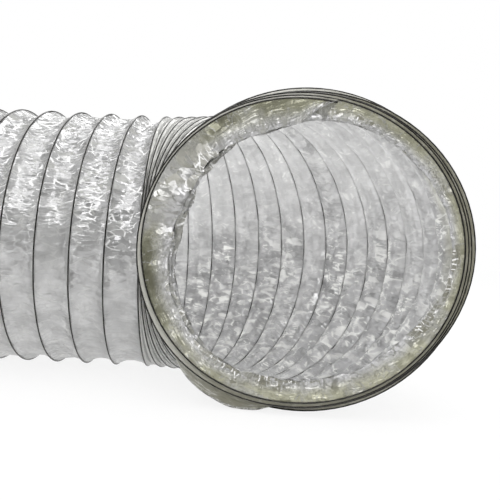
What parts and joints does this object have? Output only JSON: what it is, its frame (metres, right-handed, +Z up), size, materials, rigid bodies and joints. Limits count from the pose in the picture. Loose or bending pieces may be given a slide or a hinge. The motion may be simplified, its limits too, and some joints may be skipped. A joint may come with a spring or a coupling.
{
  "type": "flexible air duct",
  "caption": "Round flexible air duct: crinkled metallised film on a spring-wire helix, with a straight run, a gathered right-angle bend and an open end at each side.",
  "frame": {"origin": "centre of the inlet's open end, on the axis of the straight run", "axes": "+X along the straight run from the inlet towards the bend, -Y the way the outlet faces, +Z up, square to the plane that the bend lies in"},
  "size_m": [0.4292, 0.2547, 0.2074],
  "materials": {
    "film": "thin metallised film, crinkled, satin to glossy, slightly olive where it is bunched up",
    "wire": "dark drawn spring steel, matt"
  },
  "bodies": {
    "inlet_collar": {"inlet_sleeve": "film", "inlet_collar_wire": "wire", "run_film_1": "film", "run_wire_1": "wire", "run_film_2": "film"},
    "run_turn_2": {"run_wire_2": "wire", "run_film_3": "film"},
    "run_turn_3": {"run_wire_3": "wire", "run_film_4": "film"},
    "run_turn_4": {"run_wire_4": "wire", "run_film_5": "film"},
    "run_turn_5": {"run_wire_5": "wire", "run_film_6": "film"},
    "run_turn_6": {"run_wire_6": "wire", "run_film_7": "film"},
    "run_turn_7": {"run_wire_7": "wire", "run_film_8": "film"},
    "run_turn_8": {"run_wire_8": "wire", "bend_film_1": "film"},
    "bend_turn_1": {"bend_wire_1": "wire", "bend_film_2": "film"},
    "bend_turn_2": {"bend_wire_2": "wire", "bend_film_3": "film"},
    "bend_turn_3": {"bend_wire_3": "wire", "bend_film_4": "film"},
    "bend_turn_4": {"bend_wire_4": "wire", "bend_film_5": "film"},
    "bend_turn_5": {"bend_wire_5": "wire", "bend_film_6": "film"},
    "bend_turn_6": {"bend_wire_6": "wire", "bend_film_7": "film"},
    "bend_turn_7": {"bend_wire_7": "wire", "bend_film_8": "film"},
    "bend_turn_8": {"bend_wire_8": "wire", "bend_film_9": "film"},
    "bend_turn_9": {"bend_wire_9": "wire", "bend_film_10": "film"},
    "bend_turn_10": {"bend_wire_10": "wire", "bend_film_11": "film"},
    "bend_turn_11": {"bend_wire_11": "wire", "bend_film_12": "film"},
    "bend_turn_12": {"bend_wire_12": "wire", "bend_film_13": "film"},
    "bend_turn_13": {"bend_wire_13": "wire", "bend_film_14": "film"},
    "bend_turn_14": {"bend_wire_14": "wire", "bend_film_15": "film"},
    "bend_turn_15": {"bend_wire_15": "wire", "bend_film_16": "film"},
    "outlet_collar": {"outlet_sleeve": "film", "outlet_collar_wire": "wire"}
  },
  "joints": [
    {"name": "run_slide_1", "type": "slide", "parent": "inlet_collar", "child": "run_turn_2", "axis": [1, 0, 0], "range_m": [-0.018, 0.002], "deforming": ["run_film_2"]},
    {"name": "run_slide_2", "type": "slide", "parent": "run_turn_2", "child": "run_turn_3", "axis": [1, 0, 0], "range_m": [-0.018, 0.002], "deforming": ["run_film_3"]},
    {"name": "run_slide_3", "type": "slide", "parent": "run_turn_3", "child": "run_turn_4", "axis": [1, 0, 0], "range_m": [-0.018, 0.002], "deforming": ["run_film_4"]},
    {"name": "run_slide_4", "type": "slide", "parent": "run_turn_4", "child": "run_turn_5", "axis": [1, 0, 0], "range_m": [-0.018, 0.002], "deforming": ["run_film_5"]},
    {"name": "run_slide_5", "type": "slide", "parent": "run_turn_5", "child": "run_turn_6", "axis": [1, 0, 0], "range_m": [-0.018, 0.002], "deforming": ["run_film_6"]},
    {"name": "run_slide_6", "type": "slide", "parent": "run_turn_6", "child": "run_turn_7", "axis": [1, 0, 0], "range_m": [-0.018, 0.002], "deforming": ["run_film_7"]},
    {"name": "run_slide_7", "type": "slide", "parent": "run_turn_7", "child": "run_turn_8", "axis": [1, 0, 0], "range_m": [-0.018, 0.002], "deforming": ["run_film_8"]},
    {"name": "bend_hinge_1", "type": "hinge", "parent": "run_turn_8", "child": "bend_turn_1", "pos_m": [0.20407, 0.10449, 0], "axis": [0, 0, 1], "range_deg": [0, 3.15], "deforming": ["bend_film_1"]},
    {"name": "bend_hinge_2", "type": "hinge", "parent": "bend_turn_1", "child": "bend_turn_2", "pos_m": [0.22872, 0.10313, 0], "axis": [0, 0, 1], "range_deg": [0, 6.3], "deforming": ["bend_film_2"]},
    {"name": "bend_hinge_3", "type": "hinge", "parent": "bend_turn_2", "child": "bend_turn_3", "pos_m": [0.25308, 0.09908, 0], "axis": [0, 0, 1], "range_deg": [0, 6.3], "deforming": ["bend_film_3"]},
    {"name": "bend_hinge_4", "type": "hinge", "parent": "bend_turn_3", "child": "bend_turn_4", "pos_m": [0.27684, 0.09237, 0], "axis": [0, 0, 1], "range_deg": [0, 6.3], "deforming": ["bend_film_4"]},
    {"name": "bend_hinge_5", "type": "hinge", "parent": "bend_turn_4", "child": "bend_turn_5", "pos_m": [0.29972, 0.08311, 0], "axis": [0, 0, 1], "range_deg": [0, 6.3], "deforming": ["bend_film_5"]},
    {"name": "bend_hinge_6", "type": "hinge", "parent": "bend_turn_5", "child": "bend_turn_6", "pos_m": [0.32145, 0.07138, 0], "axis": [0, 0, 1], "range_deg": [0, 6.3], "deforming": ["bend_film_6"]},
    {"name": "bend_hinge_7", "type": "hinge", "parent": "bend_turn_6", "child": "bend_turn_7", "pos_m": [0.34176, 0.05735, 0], "axis": [0, 0, 1], "range_deg": [0, 6.3], "deforming": ["bend_film_7"]},
    {"name": "bend_hinge_8", "type": "hinge", "parent": "bend_turn_7", "child": "bend_turn_8", "pos_m": [0.36041, 0.04117, 0], "axis": [0, 0, 1], "range_deg": [0, 6.3], "deforming": ["bend_film_8"]},
    {"name": "bend_hinge_9", "type": "hinge", "parent": "bend_turn_8", "child": "bend_turn_9", "pos_m": [0.37717, 0.02303, 0], "axis": [0, 0, 1], "range_deg": [0, 6.3], "deforming": ["bend_film_9"]},
    {"name": "bend_hinge_10", "type": "hinge", "parent": "bend_turn_9", "child": "bend_turn_10", "pos_m": [0.39184, 0.00318, 0], "axis": [0, 0, 1], "range_deg": [0, 6.3], "deforming": ["bend_film_10"]},
    {"name": "bend_hinge_11", "type": "hinge", "parent": "bend_turn_10", "child": "bend_turn_11", "pos_m": [0.40424, -0.01817, 0], "axis": [0, 0, 1], "range_deg": [0, 6.3], "deforming": ["bend_film_11"]},
    {"name": "bend_hinge_12", "type": "hinge", "parent": "bend_turn_11", "child": "bend_turn_12", "pos_m": [0.41422, -0.04075, 0], "axis": [0, 0, 1], "range_deg": [0, 6.3], "deforming": ["bend_film_12"]},
    {"name": "bend_hinge_13", "type": "hinge", "parent": "bend_turn_12", "child": "bend_turn_13", "pos_m": [0.42166, -0.06429, 0], "axis": [0, 0, 1], "range_deg": [0, 6.3], "deforming": ["bend_film_13"]},
    {"name": "bend_hinge_14", "type": "hinge", "parent": "bend_turn_13", "child": "bend_turn_14", "pos_m": [0.42648, -0.08851, 0], "axis": [0, 0, 1], "range_deg": [0, 6.3], "deforming": ["bend_film_14"]},
    {"name": "bend_hinge_15", "type": "hinge", "parent": "bend_turn_14", "child": "bend_turn_15", "pos_m": [0.42861, -0.11311, 0], "axis": [0, 0, 1], "range_deg": [0, 6.3], "deforming": ["bend_film_15"]},
    {"name": "bend_hinge_16", "type": "hinge", "parent": "bend_turn_15", "child": "outlet_collar", "pos_m": [0.42803, -0.13779, 0], "axis": [0, 0, 1], "range_deg": [0, 3.15], "deforming": ["bend_film_16"]}
  ],
  "couplings": [
    {"joint": "run_slide_2", "follows": "run_slide_1", "ratio": 1},
    {"joint": "run_slide_3", "follows": "run_slide_1", "ratio": 1},
    {"joint": "run_slide_4", "follows": "run_slide_1", "ratio": 1},
    {"joint": "run_slide_5", "follows": "run_slide_1", "ratio": 1},
    {"joint": "run_slide_6", "follows": "run_slide_1", "ratio": 1},
    {"joint": "run_slide_7", "follows": "run_slide_1", "ratio": 1},
    {"joint": "bend_hinge_1", "follows": "bend_hinge_2", "ratio": 0.5},
    {"joint": "bend_hinge_3", "follows": "bend_hinge_2", "ratio": 1},
    {"joint": "bend_hinge_4", "follows": "bend_hinge_2", "ratio": 1},
    {"joint": "bend_hinge_5", "follows": "bend_hinge_2", "ratio": 1},
    {"joint": "bend_hinge_6", "follows": "bend_hinge_2", "ratio": 1},
    {"joint": "bend_hinge_7", "follows": "bend_hinge_2", "ratio": 1},
    {"joint": "bend_hinge_8", "follows": "bend_hinge_2", "ratio": 1},
    {"joint": "bend_hinge_9", "follows": "bend_hinge_2", "ratio": 1},
    {"joint": "bend_hinge_10", "follows": "bend_hinge_2", "ratio": 1},
    {"joint": "bend_hinge_11", "follows": "bend_hinge_2", "ratio": 1},
    {"joint": "bend_hinge_12", "follows": "bend_hinge_2", "ratio": 1},
    {"joint": "bend_hinge_13", "follows": "bend_hinge_2", "ratio": 1},
    {"joint": "bend_hinge_14", "follows": "bend_hinge_2", "ratio": 1},
    {"joint": "bend_hinge_15", "follows": "bend_hinge_2", "ratio": 1},
    {"joint": "bend_hinge_16", "follows": "bend_hinge_2", "ratio": 0.5}
  ]
}
